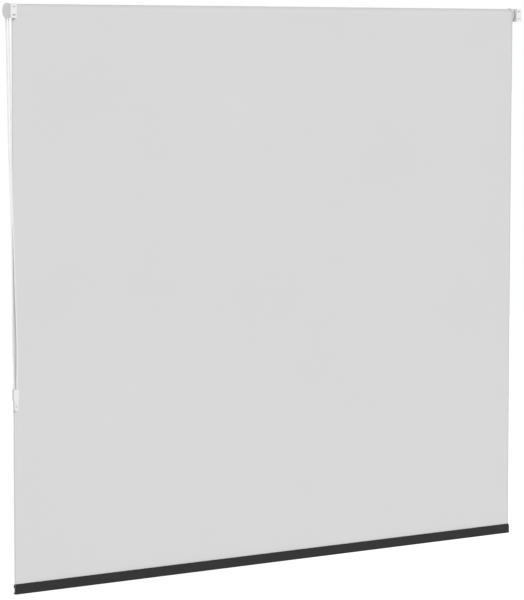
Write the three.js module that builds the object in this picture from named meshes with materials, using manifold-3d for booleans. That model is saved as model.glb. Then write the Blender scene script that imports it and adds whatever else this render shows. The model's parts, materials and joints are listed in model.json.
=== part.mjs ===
// Blackout roller blind with a chain drive, two wall brackets and a chain tensioner.
// Millimetres. X runs along the roll, Y away from the wall, Z up.
// The origin is on the wall plane, at the middle of the roll and at the height of its axis.
import * as THREE from 'three';
import { mergeVertices } from 'three/addons/utils/BufferGeometryUtils.js';
import Module from 'manifold-3d';

const wasm = await Module();
wasm.setup();

// Sizes of the whole blind
const clothWidth = 1558;
const dropFromRollTop = 1500;
const wallToAxis = 42;
const gap = 0.3;
const halfWidth = clothWidth / 2;

// Roller tube with a keyway, the spline in it and the cloth wound on it
const tubeRadius = 16;
const tubeWall = 1;
const tubeSetBack = 0.5;
const keywayWidth = 4;
const keywayDepth = 2.2;
const clothThickness = 0.45;
const wrapTurns = 2;
const wrapInner = tubeRadius + gap;
const wrapOuter = wrapInner + wrapTurns * clothThickness;
const tubeBore = tubeRadius - tubeWall;

// Wall brackets of bent plate
const plateThickness = 1.6;
const plateHalfHeight = 18;
const plateFromCloth = 7.3;
const footWidth = 16.8;
const footFromCloth = -3.2;
const slotLength = 9.6;
const slotWidth = 3.9;
const slotAboveAxis = 10.3;
const slotFromCloth = footFromCloth + footWidth / 2;
const plateOuter = plateFromCloth + plateThickness;

// Chain and the drive that it turns
const beadDiameter = 4.5;
const beadPitch = 6;
const wheelPockets = 12;
const beadRadius = beadDiameter / 2;
const chainPitchRadius = (wheelPockets * beadPitch) / (2 * Math.PI);
const coverRadius = 19.7;
const coverFromCloth = 0.5;
const coverDepth = plateFromCloth - gap - coverFromCloth;
const coverRim = 2.3;
const coverFace = 0.7;
const coverBevel = 0.7;
const chainExitHalf = 7.8;
const chainExitRoom = 0.7;
const coverStart = coverFromCloth;
const coverEnd = coverStart + coverDepth;
const wheelFlangeRadius = 15;
const wheelFlange = 0.4;
const wheelStart = coverStart + gap;
const wheelFlangeEnd = wheelStart + wheelFlange;
const chainPlane = wheelFlangeEnd + gap + beadRadius;
const wheelEnd = coverEnd - coverFace - 2 * gap;
const pocketDepth = 1.1;
const wheelCore = chainPitchRadius - beadRadius - gap;

// Drive hub, crown and wrap springs inside the tube
const hubRadius = 4;
const hubInTube = 44;
const hubRunning = 0.4;
const neckBore = hubRadius + hubRunning;
const neckRadius = 7.4;
const neckInTube = 7;
const crownFlange = 0.2;
const plugFlangeRadius = tubeRadius - gap / 2;
const plugLength = 40;
const plugSleeveWall = 1.5;
const plugRibs = 6;
const plugRib = 1.4;
const plugFit = tubeBore - gap;
const crownBore = neckRadius + gap;
const springWire = 0.9;
const springTurns = 8;
const springPitch = 1.5;
const springGap = 1.8;
const clipThickness = 0.8;
const clipWidth = 2.4;

// Idler end with its sprung pin
const pinRadius = 2.5;
const pinHoleRadius = 2.9;
const pinPastPlate = 1.4;
const pinCollarRadius = 3.3;
const pinCollar = 2.7;
const pinBore = 3.6;
const pinTailRadius = 1.6;
const pinTail = 12;
const pinBevel = 0.5;
const idlerBoreWall = 1.4;
const idlerFront = 4;
const idlerRim = 5.8;
const idlerRimRadius = 19.7;
const idlerLength = 30;
const idlerSpringWire = 0.9;
const idlerSpringTurns = 9;

// Bottom bar
const barHeight = 26;
const barDepth = 12;
const barWall = 1.2;
const barSlot = 1.4;
const barCorner = 1.5;
const barGroove = 12.2;
const barGrooveBelowTop = 10.3;
const barGrooveDepth = 4.4;
const barCap = 2;
const capPlugLength = 7;
const capPlugHeight = 9.6;
const capPlugCorner = 1.5;
const splineRadius = 2.4;
const splineBelowTop = 6.2;
const clothAxisOffset = wrapOuter + gap + clothThickness / 2;
const clothPlane = wallToAxis - clothAxisOffset;
const barBottom = wrapOuter - dropFromRollTop;
const barTop = barBottom + barHeight;
const clothBottom = barTop - splineBelowTop + splineRadius + gap;

// Chain tensioner on the wall
const tensionerFromCloth = 3.4;
const tensionerTop = -953;
const tensionerHeight = 30;
const tensionerWidth = 14;
const tensionerBack = 2.6;
const tensionerLid = 1.6;
const tensionerCorner = 2.4;
const tensionerTab = 24.5;
const tensionerTabWidth = 11;
const tensionerTabThickness = 2;
const screwHoleRadius = 2.5;
const screwHoleUp = 10.5;
const pulleyPitchRadius = 3.9;
const pulleyBelowTop = 19;
const pulleyBore = 0.95;
const pulleyAxle = 0.7;
const pulleyHalfWidth = 2.1;
const pulleyEndPlay = 0.8;
const channelHalf = pulleyPitchRadius + beadRadius + gap;
const chainFromWall = tensionerBack + pulleyEndPlay + pulleyHalfWidth;
const tensionerBodyDepth = chainFromWall + pulleyHalfWidth + pulleyEndPlay;
const pulleyHeight = tensionerTop - pulleyBelowTop;

// Fineness of round shapes
const fine = 56;
const medium = 24;
const alongX = 11;
const alongY = 5;
const cordSides = 8;
const strandSteps = 72;
const bendSteps = 20;
const wrapPastLevel = Math.PI / 5;
const coilSides = 6;
const coilStepsPerTurn = 12;
const arcSteps = 12;

// Route of each free strand: out from the cloth edge, out from the wall, height
const frontRoute = [
  [chainPlane, wallToAxis - chainExitHalf, -coverRadius - gap],
  [3.5, 29.9, -122],
  [3, 23.7, -336],
  [2.9, 18.4, -480],
  [1.8, 14.6, -580],
  [-0.6, 10.2, -732],
  [-2.4, 6.4, -854],
  [tensionerFromCloth - pulleyPitchRadius, chainFromWall, tensionerTop + gap],
];
const rearRoute = [
  [chainPlane, wallToAxis + chainExitHalf, -coverRadius - gap],
  [4.1, 43.4, -122],
  [5, 33.4, -336],
  [7.6, 13, -580],
  [9.1, 8, -732],
  [9.4, 6.8, -854],
  [tensionerFromCloth + pulleyPitchRadius, chainFromWall, tensionerTop + gap],
];

// Turns a closed geometry into a solid that can be cut and joined
function solid(geometry) {
  const bare = geometry.clone();
  bare.deleteAttribute('normal');
  bare.deleteAttribute('uv');
  const merged = mergeVertices(bare);
  const vertProperties = merged.attributes.position.array;
  const triVerts = new Uint32Array(merged.index.array);
  return new wasm.Manifold(new wasm.Mesh({ numProp: 3, vertProperties, triVerts }));
}

// Turns a solid back into a geometry
function geometryOf(body) {
  const mesh = body.getMesh();
  const geometry = new THREE.BufferGeometry();
  const position = new THREE.BufferAttribute(Float32Array.from(mesh.vertProperties), mesh.numProp);
  geometry.setAttribute('position', position);
  geometry.setIndex(new THREE.BufferAttribute(Uint32Array.from(mesh.triVerts), 1));
  const flat = geometry.toNonIndexed();
  flat.computeVertexNormals();
  return flat;
}

function join(...geometries) {
  return geometryOf(geometries.map(solid).reduce((a, b) => a.add(b)));
}

function cut(geometry, ...tools) {
  return geometryOf(tools.map(solid).reduce((a, b) => a.subtract(b), solid(geometry)));
}

// Shapes drawn in Y and Z, extruded along X
function extrudeX(shape, start, end) {
  const depth = end - start;
  const geometry = new THREE.ExtrudeGeometry(shape, { depth, bevelEnabled: false, curveSegments: alongX });
  const basis = new THREE.Matrix4().makeBasis(
    new THREE.Vector3(0, 1, 0),
    new THREE.Vector3(0, 0, 1),
    new THREE.Vector3(1, 0, 0),
  );
  geometry.applyMatrix4(basis);
  return geometry.translate(start, 0, 0);
}

// Shapes drawn in X and Z, extruded along Y
function extrudeY(shape, start, end) {
  const depth = end - start;
  const geometry = new THREE.ExtrudeGeometry(shape, { depth, bevelEnabled: false, curveSegments: alongY });
  return geometry.rotateX(Math.PI / 2).translate(0, end, 0);
}

// Profiles of radius and place, turned round the X axis through the roll
function latheX(points, segments) {
  const profile = points.map(([radius, along]) => new THREE.Vector2(radius, along));
  const geometry = new THREE.LatheGeometry(profile, segments);
  return geometry.rotateZ(-Math.PI / 2).translate(0, wallToAxis, 0);
}

// Profiles of radius and place, turned round the Y axis
function latheY(points, segments) {
  const profile = points.map(([radius, along]) => new THREE.Vector2(radius, along));
  return new THREE.LatheGeometry(profile, segments);
}

function closed(points) {
  return [...points, points[0]];
}

function box(x, y, z) {
  const geometry = new THREE.BoxGeometry(x[1] - x[0], y[1] - y[0], z[1] - z[0]);
  return geometry.translate((x[0] + x[1]) / 2, (y[0] + y[1]) / 2, (z[0] + z[1]) / 2);
}

function circle(x, y, radius) {
  return new THREE.Shape().absarc(x, y, radius, 0, 2 * Math.PI, false);
}

// A rounded rectangle about a centre
function rounded(x, y, width, height, radius) {
  const shape = new THREE.Shape();
  const right = x + width / 2 - radius;
  const left = x - width / 2 + radius;
  const top = y + height / 2 - radius;
  const bottom = y - height / 2 + radius;
  shape.absarc(right, bottom, radius, -Math.PI / 2, 0, false);
  shape.absarc(right, top, radius, 0, Math.PI / 2, false);
  shape.absarc(left, top, radius, Math.PI / 2, Math.PI, false);
  shape.absarc(left, bottom, radius, Math.PI, 1.5 * Math.PI, false);
  shape.closePath();
  return shape;
}

// A round bar swept along a curve
function sweep(curve, radius, sides, steps) {
  const section = new THREE.Shape();
  for (let i = 0; i < sides; i += 1) {
    const angle = (2 * Math.PI * i) / sides;
    const place = [radius * Math.cos(angle), radius * Math.sin(angle)];
    if (i === 0) section.moveTo(...place);
    else section.lineTo(...place);
  }
  section.closePath();
  return new THREE.ExtrudeGeometry(section, { steps, extrudePath: curve, bevelEnabled: false });
}

// A spring wound round the roll's axis
function coil(radius, wire, turns, start, end) {
  const count = turns * coilStepsPerTurn;
  const points = [];
  for (let i = 0; i <= count; i += 1) {
    const angle = (2 * Math.PI * i) / coilStepsPerTurn;
    const along = start + ((end - start) * i) / count;
    points.push(new THREE.Vector3(along, wallToAxis + radius * Math.cos(angle), radius * Math.sin(angle)));
  }
  return sweep(new THREE.CatmullRomCurve3(points), wire / 2, coilSides, count);
}

function paint(color, roughness, metalness) {
  return new THREE.MeshStandardMaterial({ color, roughness, metalness });
}

const looks = {
  bracket: () => paint(0xe6e6e6, 0.45, 0.1),
  cover: () => paint(0xc6c6c6, 0.5, 0),
  plastic: () => paint(0xe4e4e4, 0.45, 0),
  chain: () => paint(0xe0e0e0, 0.35, 0),
  cloth: () => paint(0xd8d8d8, 0.9, 0),
  tube: () => paint(0xb4b6b8, 0.35, 0.9),
  steel: () => paint(0x9a9c9e, 0.3, 1),
  bar: () => paint(0x383838, 0.5, 0.3),
  barCap: () => paint(0x0c0c0c, 0.6, 0),
};

const root = new THREE.Group();

function add(name, look, geometry) {
  const mesh = new THREE.Mesh(geometry, look());
  mesh.name = name;
  root.add(mesh);
  return mesh;
}

// Places measured outward from the cloth's edge: side -1 is the chain end, side 1 the idler end
function out(side, distance) {
  return side * (halfWidth + distance);
}

function span(side, from, to) {
  const ends = [out(side, from), out(side, to)];
  return ends.sort((a, b) => a - b);
}

// One bracket: a side plate with a hole at the axis, and a slotted foot on the wall
function bracket(side, holeRadius) {
  const plate = new THREE.Shape();
  plate.moveTo(0, plateHalfHeight);
  plate.lineTo(0, -plateHalfHeight);
  plate.absarc(wallToAxis, 0, plateHalfHeight, -Math.PI / 2, Math.PI / 2, false);
  plate.closePath();
  plate.holes.push(circle(wallToAxis, 0, holeRadius));
  const sidePlate = extrudeX(plate, ...span(side, plateFromCloth, plateOuter));
  const middle = out(side, slotFromCloth);
  const foot = rounded(middle, 0, footWidth, 2 * plateHalfHeight, plateThickness);
  for (const height of [-slotAboveAxis, slotAboveAxis]) {
    foot.holes.push(rounded(middle, height, slotLength, slotWidth, slotWidth / 2));
  }
  return join(sidePlate, extrudeY(foot, 0, plateThickness));
}

// Tube outline with a keyway let in at the top
function keyed(radius, width, floorRadius) {
  const shape = new THREE.Shape();
  const turn = Math.asin(width / (2 * radius));
  shape.moveTo(wallToAxis + width / 2, floorRadius);
  shape.lineTo(wallToAxis - width / 2, floorRadius);
  shape.lineTo(wallToAxis - width / 2, radius * Math.cos(turn));
  for (let i = 1; i < fine; i += 1) {
    const angle = turn + (2 * (Math.PI - turn) * i) / fine;
    shape.lineTo(wallToAxis - radius * Math.sin(angle), radius * Math.cos(angle));
  }
  shape.lineTo(wallToAxis + width / 2, radius * Math.cos(turn));
  shape.closePath();
  return shape;
}

function rollerTube() {
  const shape = keyed(tubeRadius, keywayWidth, tubeRadius - keywayDepth);
  const bore = keyed(tubeBore, keywayWidth + 2 * tubeWall, tubeRadius - keywayDepth - tubeWall);
  shape.holes.push(bore);
  return extrudeX(shape, out(-1, -tubeSetBack), out(1, -tubeSetBack));
}

function tubeSpline() {
  const half = keywayWidth / 2 - gap;
  const floor = tubeRadius - keywayDepth + gap;
  const along = [out(-1, -tubeSetBack), out(1, -tubeSetBack)];
  return box(along, [wallToAxis - half, wallToAxis + half], [floor, tubeRadius - gap]);
}

function ring(inner, outer, start, end, segments) {
  const profile = [[inner, start], [outer, start], [outer, end], [inner, end]];
  return latheX(closed(profile), segments);
}

// A ribbed plug that fits the tube's end and its keyway
function tubePlug(side, bore, boreWall, length, flangeFront) {
  const flangeBack = gap - tubeSetBack;
  const flange = ring(bore, plugFlangeRadius, ...span(side, flangeFront, flangeBack), fine);
  const body = span(side, 0, -length);
  const sleeve = ring(plugFit - plugSleeveWall, plugFit, ...body, fine);
  const core = ring(bore, bore + boreWall, ...body, medium);
  const ribs = [];
  for (let i = 0; i < plugRibs; i += 1) {
    const half = plugRib / 2;
    const reach = [bore + boreWall / 2, plugFit - plugSleeveWall / 2];
    const rib = box(body, [-half, half], reach);
    rib.rotateX((2 * Math.PI * (i + 1 / 2)) / plugRibs).translate(0, wallToAxis, 0);
    ribs.push(rib);
  }
  const half = keywayWidth / 2 + tubeWall + gap;
  const floor = tubeRadius - keywayDepth - tubeWall - gap;
  const inside = span(side, flangeBack, -length - gap);
  const keyway = box(inside, [wallToAxis - half, wallToAxis + half], [floor, tubeRadius]);
  return cut(join(flange, sleeve, core, ...ribs), keyway);
}

function clutchCrown() {
  return tubePlug(-1, crownBore, plugSleeveWall, plugLength, crownFlange);
}

// The idler plug has a narrow mouth for the pin, a bore for its spring and a closed end
function idlerPlug() {
  const plug = tubePlug(1, pinBore, idlerBoreWall, idlerLength, idlerRim);
  const rim = ring(pinHoleRadius, idlerRimRadius, ...span(1, gap, idlerRim), fine);
  const front = span(1, idlerRim, -idlerFront);
  const bush = ring(pinHoleRadius, pinBore + idlerBoreWall / 2, ...front, medium);
  const [inner, outer] = span(1, -idlerLength - idlerBoreWall, -idlerLength + idlerBoreWall);
  const radius = pinBore + idlerBoreWall;
  const end = latheX([[0, inner], [radius, inner], [radius, outer], [0, outer]], medium);
  return join(plug, rim, bush, end);
}

function idlerPin() {
  const tip = out(1, plateOuter + pinPastPlate);
  const collarFront = out(1, -idlerFront - gap);
  const collarBack = collarFront - pinCollar;
  const tail = collarBack - pinTail;
  return latheX([
    [0, tail],
    [pinTailRadius, tail],
    [pinTailRadius, collarBack],
    [pinCollarRadius, collarBack],
    [pinCollarRadius, collarFront],
    [pinRadius, collarFront],
    [pinRadius, tip - pinBevel],
    [pinRadius - pinBevel, tip],
    [0, tip],
  ], medium);
}

function idlerSpring() {
  const radius = (pinBore + pinTailRadius) / 2;
  const start = out(1, -idlerLength + idlerBoreWall + idlerSpringWire);
  const end = out(1, -idlerFront - pinCollar - 2 * gap - idlerSpringWire / 2);
  return coil(radius, idlerSpringWire, idlerSpringTurns, start, end);
}

// The cover is a cup over the chain wheel with a mouth below for the two strands
function chainCover() {
  const rim = out(-1, coverStart);
  const face = out(-1, coverEnd);
  const inside = face + coverFace;
  const bore = coverRadius - coverRim;
  const eye = hubRadius + gap;
  const cup = latheX(closed([
    [eye, face],
    [coverRadius - coverBevel, face],
    [coverRadius, face + coverBevel],
    [coverRadius, rim],
    [bore, rim],
    [bore, inside],
    [eye, inside],
  ]), fine);
  const half = chainExitHalf + beadRadius + chainExitRoom;
  const down = [-coverRadius - gap, -coverRadius + coverRim + beadDiameter];
  const mouth = box([inside, rim + gap], [wallToAxis - half, wallToAxis + half], down);
  return cut(cup, mouth);
}

function pocketOutline() {
  const shape = new THREE.Shape();
  const count = 4 * wheelPockets;
  for (let i = 0; i < count; i += 1) {
    const angle = (2 * Math.PI * i) / count;
    const radius = wheelCore - (pocketDepth / 2) * (1 - Math.cos(wheelPockets * angle));
    const place = [wallToAxis + radius * Math.cos(angle), radius * Math.sin(angle)];
    if (i === 0) shape.moveTo(...place);
    else shape.lineTo(...place);
  }
  shape.closePath();
  shape.holes.push(circle(wallToAxis, 0, neckBore));
  return shape;
}

function chainWheel() {
  const flange = ring(neckBore, wheelFlangeRadius, ...span(-1, wheelStart, wheelFlangeEnd), fine);
  const neck = ring(neckBore, neckRadius, ...span(-1, wheelFlangeEnd, -neckInTube), medium);
  const core = extrudeX(pocketOutline(), ...span(-1, wheelStart, wheelEnd));
  return join(flange, neck, core);
}

function clutchHub() {
  const outer = out(-1, plateOuter - gap);
  const inner = out(-1, -hubInTube);
  return latheX([[0, outer], [hubRadius, outer], [hubRadius, inner], [0, inner]], medium);
}

function clutchClip() {
  const inner = hubRadius + gap;
  const along = span(-1, -plugLength - gap, -plugLength - gap - clipThickness);
  return ring(inner, inner + clipWidth, ...along, medium);
}

function wrapSpring(place) {
  const radius = hubRadius + springGap / 2 + springWire / 2 - gap;
  const length = springTurns * springPitch;
  const first = neckInTube + springGap + place * (length + springGap);
  return coil(radius, springWire, springTurns, ...span(-1, -first, -first - length));
}

// The sheet hangs from the roll and goes down through the bar's slot to its spline
function hangingCloth() {
  const half = clothThickness / 2;
  const across = [out(-1, 0), out(1, 0)];
  return box(across, [clothPlane - half, clothPlane + half], [clothBottom, 0]);
}

// The bar's outline, round above and square below, with the wide groove along its far face
function barShape(inset) {
  const half = barDepth / 2 - inset;
  const corner = Math.max(barCorner - inset, gap);
  const low = barBottom + inset;
  const grooveTop = barTop - barGrooveBelowTop + inset;
  const grooveBottom = barTop - barGrooveBelowTop - barGroove - inset;
  const grooveFloor = clothPlane + half - barGrooveDepth;
  const shape = new THREE.Shape();
  shape.absarc(clothPlane, barTop - barDepth / 2, half, 0, Math.PI, false);
  shape.absarc(clothPlane - half + corner, low + corner, corner, Math.PI, 1.5 * Math.PI, false);
  shape.absarc(clothPlane + half - corner, low + corner, corner, 1.5 * Math.PI, 2 * Math.PI, false);
  shape.lineTo(clothPlane + half, grooveBottom);
  shape.lineTo(grooveFloor, grooveBottom);
  shape.lineTo(grooveFloor, grooveTop);
  shape.lineTo(clothPlane + half, grooveTop);
  shape.closePath();
  return shape;
}

function barProfile() {
  const along = [out(-1, -barCap - gap), out(1, -barCap - gap)];
  const tube = barShape(0);
  tube.holes.push(barShape(barWall));
  const half = barSlot / 2;
  const down = [barTop - 2 * barWall, barTop + gap];
  const slot = box([out(-1, gap), out(1, gap)], [clothPlane - half, clothPlane + half], down);
  return cut(extrudeX(tube, ...along), slot);
}

function barSpline() {
  const start = out(-1, -barCap - capPlugLength - 3 * gap);
  const end = out(1, -barCap - capPlugLength - 3 * gap);
  const rod = latheX([[0, start], [splineRadius, start], [splineRadius, end], [0, end]], medium);
  return rod.translate(0, clothPlane - wallToAxis, barTop - splineBelowTop);
}

function barEnd(side) {
  const plate = extrudeX(barShape(0), ...span(side, 0, -barCap));
  const chamber = barDepth - barGrooveDepth - 2 * barWall;
  const middle = clothPlane - barDepth / 2 + barWall + chamber / 2;
  const height = barTop - barGrooveBelowTop - capPlugHeight / 2;
  const tongue = rounded(middle, height, chamber - 2 * gap, capPlugHeight, capPlugCorner);
  const plug = extrudeX(tongue, ...span(side, -barCap + gap, -barCap - capPlugLength));
  const half = barSlot / 2;
  const down = [clothBottom - gap, barTop + gap];
  const slot = box(span(side, gap, -barCap - gap), [clothPlane - half, clothPlane + half], down);
  return cut(join(plate, plug), slot);
}

// The tensioner is a channel closed by a lid, with a screw tab below it
const tensionerX = out(-1, tensionerFromCloth);

function tensionerOutline(corner) {
  const middle = tensionerTop - tensionerHeight / 2;
  return rounded(tensionerX, middle, tensionerWidth, tensionerHeight, corner);
}

function tensionerBody() {
  const block = extrudeY(tensionerOutline(tensionerCorner), 0, tensionerBodyDepth);
  const tabEnd = tensionerTop - tensionerHeight - tensionerTab;
  const tabLength = tensionerTab + tensionerCorner;
  const outline = rounded(tensionerX, tabEnd + tabLength / 2, tensionerTabWidth, tabLength, tensionerCorner);
  outline.holes.push(circle(tensionerX, tabEnd + screwHoleUp, screwHoleRadius));
  const tab = extrudeY(outline, 0, tensionerTabThickness);
  const channel = new THREE.Shape();
  channel.absarc(tensionerX, pulleyHeight, channelHalf, Math.PI, 2 * Math.PI, false);
  channel.lineTo(tensionerX + channelHalf, tensionerTop + gap);
  channel.lineTo(tensionerX - channelHalf, tensionerTop + gap);
  channel.closePath();
  return cut(join(block, tab), extrudeY(channel, tensionerBack, tensionerBodyDepth + gap));
}

function tensionerCover() {
  const start = tensionerBodyDepth + gap;
  return extrudeY(tensionerOutline(tensionerCorner), start, start + tensionerLid);
}

function tensionerAxle() {
  const start = tensionerBack + gap;
  const end = tensionerBodyDepth;
  const pin = latheY([[0, start], [pulleyAxle, start], [pulleyAxle, end], [0, end]], medium);
  return pin.translate(tensionerX, 0, pulleyHeight);
}

function tensionPulley() {
  const groove = [];
  for (let i = 0; i <= arcSteps; i += 1) {
    const along = pulleyHalfWidth * ((2 * i) / arcSteps - 1);
    const radius = pulleyPitchRadius - gap - Math.sqrt(beadRadius ** 2 - along ** 2);
    groove.push([radius, chainFromWall + along]);
  }
  const [start, end] = [chainFromWall - pulleyHalfWidth, chainFromWall + pulleyHalfWidth];
  const profile = closed([[pulleyBore, start], ...groove, [pulleyBore, end]]);
  return latheY(profile, medium).translate(tensionerX, 0, pulleyHeight);
}

// A free strand of the bead chain, as a plain cord along its route
function strand(route) {
  const points = route.map(([from, wall, height]) => new THREE.Vector3(out(-1, from), wall, height));
  return sweep(new THREE.CatmullRomCurve3(points), beadRadius, cordSides, strandSteps);
}

function wheelWrap() {
  const x = out(-1, chainPlane);
  const low = gap - coverRadius;
  const points = [new THREE.Vector3(x, wallToAxis + chainExitHalf, low)];
  for (let i = 0; i <= bendSteps; i += 1) {
    const angle = -wrapPastLevel + ((Math.PI + 2 * wrapPastLevel) * i) / bendSteps;
    const y = wallToAxis + chainPitchRadius * Math.cos(angle);
    points.push(new THREE.Vector3(x, y, chainPitchRadius * Math.sin(angle)));
  }
  points.push(new THREE.Vector3(x, wallToAxis - chainExitHalf, low));
  return sweep(new THREE.CatmullRomCurve3(points), beadRadius, cordSides, 2 * bendSteps);
}

function pulleyWrap() {
  const top = tensionerTop - gap;
  const points = [];
  const straight = arcSteps / 2;
  for (let i = 0; i < straight; i += 1) {
    const height = top + ((pulleyHeight - top) * i) / straight;
    points.push(new THREE.Vector3(tensionerX - pulleyPitchRadius, chainFromWall, height));
  }
  for (let i = 0; i <= bendSteps; i += 1) {
    const angle = Math.PI + (Math.PI * i) / bendSteps;
    const x = tensionerX + pulleyPitchRadius * Math.cos(angle);
    points.push(new THREE.Vector3(x, chainFromWall, pulleyHeight + pulleyPitchRadius * Math.sin(angle)));
  }
  for (let i = straight - 1; i >= 0; i -= 1) {
    const height = top + ((pulleyHeight - top) * i) / straight;
    points.push(new THREE.Vector3(tensionerX + pulleyPitchRadius, chainFromWall, height));
  }
  return sweep(new THREE.CatmullRomCurve3(points), beadRadius, cordSides, 2 * bendSteps);
}

add('clutch_bracket', looks.bracket, bracket(-1, hubRadius + gap));
add('idler_bracket', looks.bracket, bracket(1, pinHoleRadius));
add('chain_cover', looks.cover, chainCover());
add('clutch_hub', looks.plastic, clutchHub());
add('wrap_spring_outer', looks.steel, wrapSpring(0));
add('wrap_spring_inner', looks.steel, wrapSpring(1));
add('clutch_clip', looks.steel, clutchClip());
add('clutch_crown', looks.plastic, clutchCrown());
add('chain_wheel', looks.plastic, chainWheel());
add('roller_tube', looks.tube, rollerTube());
add('tube_spline', looks.plastic, tubeSpline());
add('fabric_wrap', looks.cloth, ring(wrapInner, wrapOuter, ...span(1, 0, -clothWidth), fine));
add('idler_plug', looks.plastic, idlerPlug());
add('idler_pin', looks.steel, idlerPin());
add('idler_spring', looks.steel, idlerSpring());
add('blind_cloth', looks.cloth, hangingCloth());
add('bar_profile', looks.bar, barProfile());
add('bar_spline', looks.plastic, barSpline());
add('bar_cap_left', looks.barCap, barEnd(-1));
add('bar_cap_right', looks.barCap, barEnd(1));
add('tensioner_body', looks.plastic, tensionerBody());
add('tensioner_cover', looks.plastic, tensionerCover());
add('tensioner_axle', looks.steel, tensionerAxle());
add('tension_pulley', looks.plastic, tensionPulley());
add('chain_front_strand', looks.chain, strand(frontRoute));
add('chain_rear_strand', looks.chain, strand(rearRoute));
add('chain_wheel_wrap', looks.chain, wheelWrap());
add('chain_pulley_wrap', looks.chain, pulleyWrap());

export default root;
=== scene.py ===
# A blackout roller blind, dressed for a studio photograph of its wall side.
# Metres, in the model's own frame: X along the roll, Y away from the wall, Z up.
import json
import math
import bpy
from mathutils import Matrix, Vector


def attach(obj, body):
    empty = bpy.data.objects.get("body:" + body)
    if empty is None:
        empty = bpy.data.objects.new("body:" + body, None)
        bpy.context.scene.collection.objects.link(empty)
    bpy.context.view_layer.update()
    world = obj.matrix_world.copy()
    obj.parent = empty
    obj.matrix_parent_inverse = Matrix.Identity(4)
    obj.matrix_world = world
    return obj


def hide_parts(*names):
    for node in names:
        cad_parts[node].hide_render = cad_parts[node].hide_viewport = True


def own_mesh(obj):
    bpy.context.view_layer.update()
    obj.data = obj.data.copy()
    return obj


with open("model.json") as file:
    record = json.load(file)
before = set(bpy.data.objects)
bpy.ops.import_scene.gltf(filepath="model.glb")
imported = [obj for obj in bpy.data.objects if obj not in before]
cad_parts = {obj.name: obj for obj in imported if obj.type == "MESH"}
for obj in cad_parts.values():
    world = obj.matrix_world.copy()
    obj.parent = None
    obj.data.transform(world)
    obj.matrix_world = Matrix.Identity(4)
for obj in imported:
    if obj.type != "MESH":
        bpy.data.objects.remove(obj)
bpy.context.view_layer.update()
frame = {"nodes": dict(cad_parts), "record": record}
scene = bpy.context.scene

# Sizes repeated from the model
HALF = 0.779
AXIS_Y = 0.042
ROLL_LINE_R = 0.017725  # middle of the outermost layer on the roll
CLOTH_Y = AXIS_Y - ROLL_LINE_R
CLOTH_T = 0.00045
CLOTH_BOTTOM = -1.4603
BEAD_R = 0.00225
BEAD_PITCH = 0.006
CORD_R = 0.0014
WHEEL_POCKETS = 12
WHEEL_R = BEAD_PITCH * WHEEL_POCKETS / (2 * math.pi)
WRAP_PAST_LEVEL = math.pi / 5
CHAIN_OUT = 0.00375
EXIT_HALF = 0.0078
COVER_R = 0.0197
TENSIONER_OUT = 0.0034
TENSIONER_X = -(HALF + TENSIONER_OUT)
TENSIONER_TOP = -0.953
PULLEY_Z = -0.972
PULLEY_R = 0.0039
CHAIN_Y = 0.0055
GAP = 0.0003


# The camera stands on the wall side, to the left, as in the photograph
CAMERA_PLACE = (-3.36905, -5.53345, -0.07954)
CAMERA_YAW, CAMERA_PITCH, CAMERA_ROLL = 30.871, -4.079, 0.101
CAMERA_LENS = 145.56
CAMERA_SHIFT = -0.14


def make_camera():
    data = bpy.data.cameras.new("camera")
    data.sensor_width = 36.0
    data.lens = CAMERA_LENS
    data.shift_y = CAMERA_SHIFT
    data.clip_end = 60.0
    camera = bpy.data.objects.new("camera", data)
    scene.collection.objects.link(camera)
    yaw, pitch, roll = (math.radians(a) for a in (CAMERA_YAW, CAMERA_PITCH, CAMERA_ROLL))
    level = math.cos(pitch)
    ahead = Vector((math.sin(yaw) * level, math.cos(yaw) * level, math.sin(pitch)))
    right = Vector((math.cos(yaw), -math.sin(yaw), 0.0))
    up = right.cross(ahead)
    side = right * math.cos(roll) + up * math.sin(roll)
    top = up * math.cos(roll) - right * math.sin(roll)
    turn = Matrix((side, top, -ahead)).transposed().to_4x4()
    camera.matrix_world = Matrix.Translation(CAMERA_PLACE) @ turn
    scene.camera = camera


# Mesh helpers
SHARP_FROM = math.radians(40.0)
STEPS_PER_SPAN = 40  # of a Catmull-Rom line, between two of its points


def mesh_object(name, verts, faces, smooth=True):
    mesh = bpy.data.meshes.new(name)
    mesh.from_pydata([tuple(v) for v in verts], [], faces)
    mesh.validate()
    mesh.update()
    for polygon in mesh.polygons:
        polygon.use_smooth = smooth
    mesh.set_sharp_from_angle(angle=SHARP_FROM)
    piece = bpy.data.objects.new(name, mesh)
    scene.collection.objects.link(piece)
    return piece


def spline_points(points, count):
    """A Catmull-Rom line through points, as count + 1 evenly spaced places, and its length."""
    ends = [2 * points[0] - points[1]] + points + [2 * points[-1] - points[-2]]
    dense = []
    for i in range(1, len(ends) - 2):
        a, b, c, d = ends[i - 1:i + 3]
        for k in range(STEPS_PER_SPAN):
            t = k / STEPS_PER_SPAN
            dense.append(0.5 * (2 * b + (c - a) * t + (2 * a - 5 * b + 4 * c - d) * t * t
                                + (3 * b - a - 3 * c + d) * t ** 3))
    dense.append(points[-1])
    lengths = [0.0]
    for a, b in zip(dense, dense[1:]):
        lengths.append(lengths[-1] + (b - a).length)
    out, j = [], 0
    for i in range(count + 1):
        want = lengths[-1] * i / count
        while j < len(lengths) - 2 and lengths[j + 1] < want:
            j += 1
        span = max(lengths[j + 1] - lengths[j], 1e-12)
        out.append(dense[j].lerp(dense[j + 1], (want - lengths[j]) / span))
    return out, lengths[-1]


def frames_along(points):
    """Each point with its tangent and two steady cross directions."""
    result = []
    side = None
    for i, p in enumerate(points):
        tangent = (points[min(i + 1, len(points) - 1)] - points[max(i - 1, 0)]).normalized()
        if side is None:
            side = tangent.orthogonal().normalized()
        side = (side - tangent * side.dot(tangent)).normalized()
        result.append((p, tangent, side, tangent.cross(side)))
    return result


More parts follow.
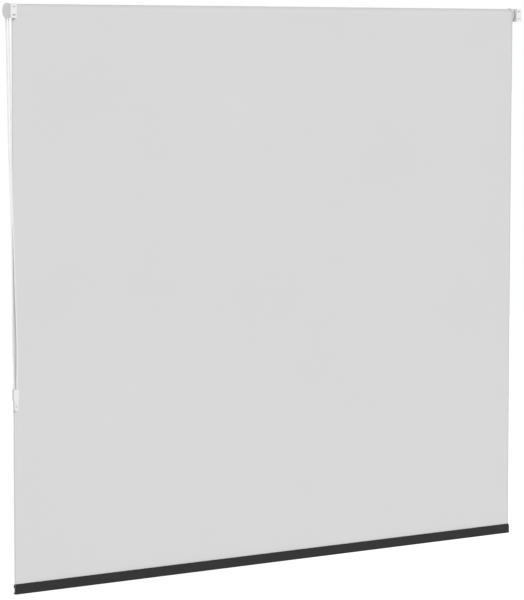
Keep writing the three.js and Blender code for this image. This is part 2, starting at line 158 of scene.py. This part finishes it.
CORD_SIDES = 8
BEAD_SIDES = 14
BEAD_ROWS = 8
SEAM_STEPS = (0, BEAD_SIDES // 2)
SEAM_RISE = 1.018  # as a share of the bead's radius


def ring(centre, radius, u, v, step, sides):
    angle = 2 * math.pi * step / sides
    return centre + radius * (u * math.cos(angle) + v * math.sin(angle))


def add_cord(verts, faces, steady):
    for p, _, u, v in steady:
        verts += [ring(p, CORD_R, u, v, k, CORD_SIDES) for k in range(CORD_SIDES)]
    last = (len(steady) - 1) * CORD_SIDES
    for start in range(0, last, CORD_SIDES):
        for k in range(CORD_SIDES):
            m = (k + 1) % CORD_SIDES
            faces.append((start + k, start + m, start + CORD_SIDES + m, start + CORD_SIDES + k))
    faces.append(tuple(reversed(range(CORD_SIDES))))
    faces.append(tuple(last + k for k in range(CORD_SIDES)))


def add_bead(verts, faces, p, tangent, u, v):
    """A ball with a fine moulding seam on two sides, along the chain."""
    first = len(verts)
    verts.append(p - tangent * BEAD_R)
    for row in range(1, BEAD_ROWS):
        latitude = math.pi * row / BEAD_ROWS
        centre = p - tangent * (BEAD_R * math.cos(latitude))
        for k in range(BEAD_SIDES):
            radius = BEAD_R * math.sin(latitude) * (SEAM_RISE if k in SEAM_STEPS else 1.0)
            verts.append(ring(centre, radius, u, v, k, BEAD_SIDES))
    verts.append(p + tangent * BEAD_R)
    top = len(verts) - 1
    for k in range(BEAD_SIDES):
        m = (k + 1) % BEAD_SIDES
        faces.append((first, first + 1 + m, first + 1 + k))
        for row in range(BEAD_ROWS - 2):
            start = first + 1 + row * BEAD_SIDES
            faces.append((start + k, start + m, start + BEAD_SIDES + m, start + BEAD_SIDES + k))
        start = first + 1 + (BEAD_ROWS - 2) * BEAD_SIDES
        faces.append((start + k, start + m, top))


def bead_chain(name, points):
    """Round moulded beads on a thin cord, one every pitch along the route."""
    beads = max(1, round(spline_points(points, 8)[1] / BEAD_PITCH))
    line, length = spline_points(points, 2 * beads)
    steady = frames_along(line)
    verts, faces = [], []
    add_cord(verts, faces, steady)
    for p, tangent, u, v in steady[1::2]:
        add_bead(verts, faces, p, tangent, u, v)
    return mesh_object(name, verts, faces), line, length


# The free strands of the bead chain, along the model's route
def strand_route(route):
    return [Vector((-(HALF + out), wall, height)) for out, wall, height in route]


make_camera()
FRONT = strand_route([
    (CHAIN_OUT, AXIS_Y - EXIT_HALF, -COVER_R - GAP),
    (0.0035, 0.0299, -0.122),
    (0.0030, 0.0237, -0.336),
    (0.0029, 0.0184, -0.480),
    (0.0018, 0.0146, -0.580),
    (-0.0006, 0.0102, -0.732),
    (-0.0024, 0.0064, -0.854),
    (TENSIONER_OUT - PULLEY_R, CHAIN_Y, TENSIONER_TOP + GAP),
])
REAR = strand_route([
    (CHAIN_OUT, AXIS_Y + EXIT_HALF, -COVER_R - GAP),
    (0.0041, 0.0434, -0.122),
    (0.0050, 0.0334, -0.336),
    (0.0076, 0.0130, -0.580),
    (0.0091, 0.0080, -0.732),
    (0.0094, 0.0068, -0.854),
    (TENSIONER_OUT + PULLEY_R, CHAIN_Y, TENSIONER_TOP + GAP),
])
strands = {}
for name, route, node in (("bead_strand_front", FRONT, "chain_front_strand"),
                          ("bead_strand_rear", REAR, "chain_rear_strand")):
    piece, line, length = bead_chain(name, route)
    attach(piece, "wall_parts")
    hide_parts(node)
    strands[name] = piece


# The rest of the loop, held round the wheel and round the pulley
def held_chain(name, points, node):
    piece = bead_chain(name, points)[0]
    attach(piece, "wall_parts")
    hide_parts(node)
    return piece


def angles(first, sweep, steps):
    return [first + sweep * i / steps for i in range(steps + 1)]


def wheel_point(along, height):
    return Vector((-(HALF + CHAIN_OUT), AXIS_Y + along, height))


def pulley_point(along, height):
    return Vector((TENSIONER_X + along, CHAIN_Y, height))


WHEEL_STEPS, PULLEY_STEPS = 20, 12
over = angles(-WRAP_PAST_LEVEL, math.pi + 2 * WRAP_PAST_LEVEL, WHEEL_STEPS)
wheel_points = [wheel_point(WHEEL_R * math.cos(a), WHEEL_R * math.sin(a)) for a in over]
wheel_points.insert(0, wheel_point(EXIT_HALF, -COVER_R + GAP))
wheel_points.append(wheel_point(-EXIT_HALF, -COVER_R + GAP))
wheel_chain = held_chain("beads_round_wheel", wheel_points, "chain_wheel_wrap")
under = angles(math.pi, math.pi, PULLEY_STEPS)
pulley_points = [pulley_point(PULLEY_R * math.cos(a), PULLEY_Z + PULLEY_R * math.sin(a))
                 for a in under]
pulley_points.insert(0, pulley_point(-PULLEY_R, TENSIONER_TOP - GAP))
pulley_points.append(pulley_point(PULLEY_R, TENSIONER_TOP - GAP))
pulley_chain = held_chain("beads_round_pulley", pulley_points, "chain_pulley_wrap")


# Sheets of cloth
def thick_sheet(name, across, down, place):
    """A closed sheet over a grid: place(x, line, side) gives a corner on face -1 or 1."""
    xs = [HALF * (2 * i / across - 1) for i in range(across + 1)]
    verts = [place(x, j, side) for side in (-1, 1) for j in range(down + 1) for x in xs]
    row = across + 1
    layer = row * (down + 1)
    faces = []
    for j in range(down):
        for i in range(across):
            a = j * row + i
            faces.append((a, a + row, a + row + 1, a + 1))
            b = a + layer
            faces.append((b, b + 1, b + row + 1, b + row))
    rim = [(0, i) for i in range(across)] + [(j, across) for j in range(down)]
    rim += [(down, across - i) for i in range(across)] + [(down - j, 0) for j in range(down)]
    for (j0, i0), (j1, i1) in zip(rim, rim[1:] + rim[:1]):
        a, b = j0 * row + i0, j1 * row + i1
        faces.append((a, b, b + layer, a + layer))
    return mesh_object(name, verts, faces)


# The hanging cloth: one thin sheet with a slight cupping near its side edges
SHEET_COLUMNS, SHEET_LINES = 96, 60
CUP_FROM, CUP_DEPTH = 0.69, 0.0011
WAVE_DEPTH = 0.00035
WAVE_ACROSS, WAVE_START, WAVE_DOWN = 5.2, 0.7, 3.1  # radians per metre, and at the middle
FLAT_TOP, FLAT_BOTTOM, EASE = 0.06, 0.1, 0.2


def sheet_wave(x, z):
    edge = max(0.0, (abs(x) - CUP_FROM) / (HALF - CUP_FROM))
    # Flat at both ends, where the sheet meets the roll and goes into the bar
    from_top = min(1.0, max(0.0, -z - FLAT_TOP) / EASE)
    from_bottom = min(1.0, max(0.0, z - CLOTH_BOTTOM - FLAT_BOTTOM) / EASE)
    wave = WAVE_DEPTH * math.sin(WAVE_ACROSS * x + WAVE_START) * math.sin(WAVE_DOWN * z)
    return (CUP_DEPTH * edge ** 2 + wave) * from_top * from_bottom


def hanging_place(x, line, side):
    z = CLOTH_BOTTOM * line / SHEET_LINES
    return x, CLOTH_Y + sheet_wave(x, z) + side * CLOTH_T / 2, z


cloth = thick_sheet("hanging_cloth", SHEET_COLUMNS, SHEET_LINES, hanging_place)
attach(cloth, "wall_parts")
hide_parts("blind_cloth")
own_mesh(cloth)


# The cloth wound on the tube, as a real spiral whose outer end meets the hanging sheet
SPIRAL_TURNS = 2.25
SPIRAL_COLUMNS, SPIRAL_LINES = 24, 108
SPIRAL_INNER = 0.01655


def wound_place(x, line, side):
    phi = 2 * math.pi * SPIRAL_TURNS * line / SPIRAL_LINES
    line_radius = ROLL_LINE_R + (SPIRAL_INNER - ROLL_LINE_R) * line / SPIRAL_LINES
    # The first face is the outer one, so that the faces point outward
    radius = line_radius - side * CLOTH_T / 2
    return x, AXIS_Y - radius * math.cos(phi), radius * math.sin(phi)


roll_cloth = thick_sheet("wound_cloth", SPIRAL_COLUMNS, SPIRAL_LINES, wound_place)
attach(roll_cloth, "roll")
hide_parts("fabric_wrap")


# The idler's spring, shown as its solid, with a mesh of its own
spring = bpy.data.objects.new("pressed_spring", frame["nodes"]["idler_spring"].data.copy())
scene.collection.objects.link(spring)
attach(spring, "roll")
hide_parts("idler_spring")
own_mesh(spring)


# Materials, with noise scales in cells per metre and bump depths in metres
def grey(level):
    return (level, level, level)


def new_material(name, color, rough, metallic=0.0, specular=0.5):
    material = bpy.data.materials.new(name)
    material.use_nodes = True
    nodes, links = material.node_tree.nodes, material.node_tree.links
    shader = nodes["Principled BSDF"]
    shader.inputs["Base Color"].default_value = (*color, 1.0)
    shader.inputs["Roughness"].default_value = rough
    shader.inputs["Metallic"].default_value = metallic
    shader.inputs["Specular IOR Level"].default_value = specular
    return material, nodes, links, shader


def coordinates(nodes):
    return nodes.new("ShaderNodeTexCoord").outputs["Object"]


def noise(nodes, links, place, scale, detail=3.0, roughness=0.55):
    node = nodes.new("ShaderNodeTexNoise")
    node.inputs["Scale"].default_value = scale
    node.inputs["Detail"].default_value = detail
    node.inputs["Roughness"].default_value = roughness
    links.new(place, node.inputs["Vector"])
    return node.outputs["Fac"]


def vary(nodes, links, factor, low, high, socket):
    """The factor picks a value between low and high, as a grey level or a colour."""
    ramp = nodes.new("ShaderNodeValToRGB")
    ramp.color_ramp.elements[0].position = 0.3
    ramp.color_ramp.elements[1].position = 0.7
    for element, value in zip(ramp.color_ramp.elements, (low, high)):
        color = value if isinstance(value, tuple) else grey(value)
        element.color = (*color, 1.0)
    links.new(factor, ramp.inputs["Fac"])
    links.new(ramp.outputs["Color"], socket)


def bump(nodes, links, height, strength, distance, base=None):
    node = nodes.new("ShaderNodeBump")
    node.inputs["Strength"].default_value = strength
    node.inputs["Distance"].default_value = distance
    links.new(height, node.inputs["Height"])
    if base is not None:
        links.new(base, node.inputs["Normal"])
    return node.outputs["Normal"]


def softened(nodes, radius):
    """A normal that rounds edges by the radius."""
    node = nodes.new("ShaderNodeBevel")
    node.samples = 4
    node.inputs["Radius"].default_value = radius
    return node.outputs["Normal"]


def shade(color, share):
    return tuple(c * share for c in color)


def moulded(name, color, rough, grain=900.0, edge=0.0003, depth=0.00003):
    """Plastic with a fine grain and slightly cloudy colour."""
    material, nodes, links, shader = new_material(name, color, rough)
    place = coordinates(nodes)
    cloudy = noise(nodes, links, place, 45.0, 2.0)
    vary(nodes, links, cloudy, shade(color, 0.965), shade(color, 1.02),
         shader.inputs["Base Color"])
    fine = noise(nodes, links, place, grain, 4.0)
    vary(nodes, links, fine, rough * 0.85, min(1.0, rough * 1.15), shader.inputs["Roughness"])
    normal = bump(nodes, links, fine, 0.35, depth, softened(nodes, edge))
    links.new(normal, shader.inputs["Normal"])
    return material


def powder_coat(name, color, rough):
    """Paint with a fine orange peel and small specks."""
    material, nodes, links, shader = new_material(name, color, rough)
    place = coordinates(nodes)
    peel = noise(nodes, links, place, 1400.0, 2.0, 0.4)
    speck = noise(nodes, links, place, 260.0, 5.0, 0.7)
    vary(nodes, links, speck, shade(color, 0.97), shade(color, 1.015),
         shader.inputs["Base Color"])
    vary(nodes, links, peel, rough * 0.85, rough * 1.2, shader.inputs["Roughness"])
    normal = bump(nodes, links, peel, 0.5, 0.00005, softened(nodes, 0.0004))
    links.new(normal, shader.inputs["Normal"])
    return material


def stretched_noise(nodes, links, scale, stretch, detail=4.0):
    mapping = nodes.new("ShaderNodeMapping")
    mapping.inputs["Scale"].default_value = stretch
    links.new(coordinates(nodes), mapping.inputs["Vector"])
    return noise(nodes, links, mapping.outputs["Vector"], scale, detail)


ALONG_X = (0.02, 1.0, 1.0)
NO_STRETCH = (1.0, 1.0, 1.0)


def drawn_metal(name, color, rough, metallic, stretch=ALONG_X, scale=2600.0, edge=0.0003,
                specular=0.5):
    """Metal with fine lines along the way it was drawn."""
    material, nodes, links, shader = new_material(name, color, rough, metallic, specular)
    lines = stretched_noise(nodes, links, scale, stretch)
    cloudy = noise(nodes, links, coordinates(nodes), 20.0, 3.0)
    vary(nodes, links, cloudy, shade(color, 0.93), shade(color, 1.05),
         shader.inputs["Base Color"])
    vary(nodes, links, lines, rough * 0.75, min(1.0, rough * 1.25), shader.inputs["Roughness"])
    normal = bump(nodes, links, lines, 0.3, 0.00003, softened(nodes, edge))
    links.new(normal, shader.inputs["Normal"])
    return material


def weave(nodes, links, direction, scale):
    node = nodes.new("ShaderNodeTexWave")
    node.wave_type = "BANDS"
    node.bands_direction = direction
    node.inputs["Scale"].default_value = scale
    node.inputs["Distortion"].default_value = 1.4
    node.inputs["Detail"].default_value = 2.0
    node.inputs["Detail Scale"].default_value = 1.5
    links.new(coordinates(nodes), node.inputs["Vector"])
    return node.outputs["Fac"]


EDGE_FROM, EDGE_TO = 0.0034, 0.0022
EDGE_SHARE = 0.84


def cut_edge(nodes, links):
    """1 on the cloth, and less on the narrow band along both side edges."""
    parts = nodes.new("ShaderNodeSeparateXYZ")
    links.new(coordinates(nodes), parts.inputs["Vector"])
    away = nodes.new("ShaderNodeMath")
    away.operation = "ABSOLUTE"
    links.new(parts.outputs["X"], away.inputs[0])
    band = nodes.new("ShaderNodeMapRange")
    band.inputs["From Min"].default_value = HALF - EDGE_FROM
    band.inputs["From Max"].default_value = HALF - EDGE_TO
    band.inputs["To Min"].default_value = 1.0
    band.inputs["To Max"].default_value = EDGE_SHARE
    links.new(away.outputs["Value"], band.inputs["Value"])
    return band.outputs["Result"]


def multiplied(nodes):
    node = nodes.new("ShaderNodeMix")
    node.data_type = "RGBA"
    node.blend_type = "MULTIPLY"
    node.inputs["Factor"].default_value = 1.0
    return node


def blackout_cloth(name, color):
    """A coated plain weave: fine threads both ways under a smooth, slightly chalky face."""
    material, nodes, links, shader = new_material(name, color, 0.82, 0.0, 0.25)
    shader.inputs["Sheen Weight"].default_value = 0.08
    shader.inputs["Sheen Roughness"].default_value = 0.6
    across = weave(nodes, links, "X", 620.0)
    along = weave(nodes, links, "Z", 560.0)
    cross = nodes.new("ShaderNodeMath")
    cross.operation = "MULTIPLY"
    links.new(across, cross.inputs[0])
    links.new(along, cross.inputs[1])
    slub = stretched_noise(nodes, links, 120.0, (0.06, 1.0, 1.0))
    cloudy = noise(nodes, links, coordinates(nodes), 3.2, 4.0)
    threads = multiplied(nodes)
    vary(nodes, links, cloudy, shade(color, 0.992), shade(color, 1.006), threads.inputs["A"])
    vary(nodes, links, cross.outputs["Value"], 0.975, 1.0, threads.inputs["B"])
    # The colour is made darker on a narrow band along both side edges of the cloth.
    edge_darkened = multiplied(nodes)
    links.new(threads.outputs["Result"], edge_darkened.inputs["A"])
    links.new(cut_edge(nodes, links), edge_darkened.inputs["B"])
    links.new(edge_darkened.outputs["Result"], shader.inputs["Base Color"])
    vary(nodes, links, slub, 0.76, 0.88, shader.inputs["Roughness"])
    coarse = bump(nodes, links, slub, 0.12, 0.00006)
    normal = bump(nodes, links, cross.outputs["Value"], 0.35, 0.00005, coarse)
    links.new(normal, shader.inputs["Normal"])
    return material


materials = {
    "bracket": powder_coat("white_powder_coat", grey(0.845), 0.42),
    # The chain cover's plastic is a darker grey than the white moulding: painted shade, standing
    # in for the shade on a face turned away from the light.
    "cover": moulded("cover_moulding_painted_shade", grey(0.595), 0.5),
    "plastic": moulded("white_moulding", grey(0.83), 0.4),
    "chain": moulded("bead_moulding", grey(0.86), 0.3, grain=1500.0, edge=0.0001, depth=0.00001),
    "cloth": blackout_cloth("blackout_cloth", grey(0.702)),
    "tube": drawn_metal("mill_aluminium", (0.60, 0.61, 0.62), 0.32, 1.0),
    "steel": drawn_metal("spring_steel", (0.50, 0.50, 0.51), 0.28, 1.0, stretch=NO_STRETCH,
                         scale=1800.0, edge=0.0001),
    "bar": drawn_metal("dark_bar_coating", grey(0.013), 0.5, 0.0, scale=1500.0, edge=0.0006,
                       specular=0.28),
    "bar_cap": moulded("black_moulding", grey(0.006), 0.55),
}
for subpart in frame["record"]["subparts"]:
    node = frame["nodes"][subpart["node"]]
    node.data.materials.clear()
    node.data.materials.append(materials[subpart["material_slot"]])
for piece in (*strands.values(), wheel_chain, pulley_chain):
    piece.data.materials.append(materials["chain"])
for piece in (cloth, roll_cloth):
    piece.data.materials.append(materials["cloth"])
spring.data.materials.clear()
spring.data.materials.append(materials["steel"])


# Studio: a pale floor, an even white surround, a soft lamp on the wall side and a fill behind
WORLD_LEVEL = 0.56
FLOOR_HEIGHT, FLOOR_HALF = -2.1, 9.0
FLOOR_BOUNCE = 0.8
FLOOR_LIFT = 0.41


def camera_white(nodes):
    """1 for the rays that should see plain white, 0 for those that light the object."""
    path = nodes.new("ShaderNodeLightPath")
    seen = path.outputs["Is Camera Ray"]
    tree = path.id_data
    for name in ("Is Glossy Ray", "Is Transmission Ray"):
        most = nodes.new("ShaderNodeMath")
        most.operation = "MAXIMUM"
        tree.links.new(seen, most.inputs[0])
        tree.links.new(path.outputs[name], most.inputs[1])
        seen = most.outputs["Value"]
    return seen


def make_world(level):
    world = bpy.data.worlds.new("studio")
    world.use_nodes = True
    scene.world = world
    nodes, links = world.node_tree.nodes, world.node_tree.links
    background = nodes["Background"]
    background.inputs["Color"].default_value = (1.0, 1.0, 1.0, 1.0)
    strength = nodes.new("ShaderNodeMapRange")
    strength.inputs["To Min"].default_value = level
    strength.inputs["To Max"].default_value = 1.0
    links.new(camera_white(nodes), strength.inputs["Value"])
    links.new(strength.outputs["Result"], background.inputs["Strength"])


def make_floor(height, half):
    corners = ((-half, -half), (half, -half), (half, half), (-half, half))
    floor = mesh_object("floor", [(x, y, height) for x, y in corners], [(0, 1, 2, 3)], False)
    material, nodes, links, shader = new_material("floor_white", grey(0.92), 0.9)
    shader.inputs["Specular IOR Level"].default_value = 0.0
    tone = nodes.new("ShaderNodeMapRange")
    tone.inputs["To Min"].default_value = FLOOR_BOUNCE
    tone.inputs["To Max"].default_value = 1.0
    links.new(camera_white(nodes), tone.inputs["Value"])
    links.new(tone.outputs["Result"], shader.inputs["Base Color"])
    shader.inputs["Emission Color"].default_value = (1.0, 1.0, 1.0, 1.0)
    lift = nodes.new("ShaderNodeMath")
    lift.operation = "MULTIPLY"
    lift.inputs[1].default_value = FLOOR_LIFT
    links.new(camera_white(nodes), lift.inputs[0])
    links.new(lift.outputs["Value"], shader.inputs["Emission Strength"])
    floor.data.materials.append(material)


def make_lamp(azimuth, elevation, strength, angle):
    """A sun lamp: azimuth from the wall side, towards the right, and its width, in degrees."""
    data = bpy.data.lights.new("soft_lamp", "SUN")
    data.energy = strength
    data.angle = math.radians(angle)
    lamp = bpy.data.objects.new("soft_lamp", data)
    scene.collection.objects.link(lamp)
    round_z, up = math.radians(azimuth), math.radians(elevation)
    level = math.cos(up)
    toward = Vector((math.sin(round_z) * level, -math.cos(round_z) * level, math.sin(up)))
    lamp.rotation_euler = toward.to_track_quat("Z", "Y").to_euler()


make_world(WORLD_LEVEL)
make_floor(FLOOR_HEIGHT, FLOOR_HALF)
make_lamp(azimuth=-14.0, elevation=14.0, strength=1.46, angle=10.0)
make_lamp(azimuth=180.0, elevation=8.0, strength=0.6, angle=5.0)
scene.view_settings.view_transform = "Standard"
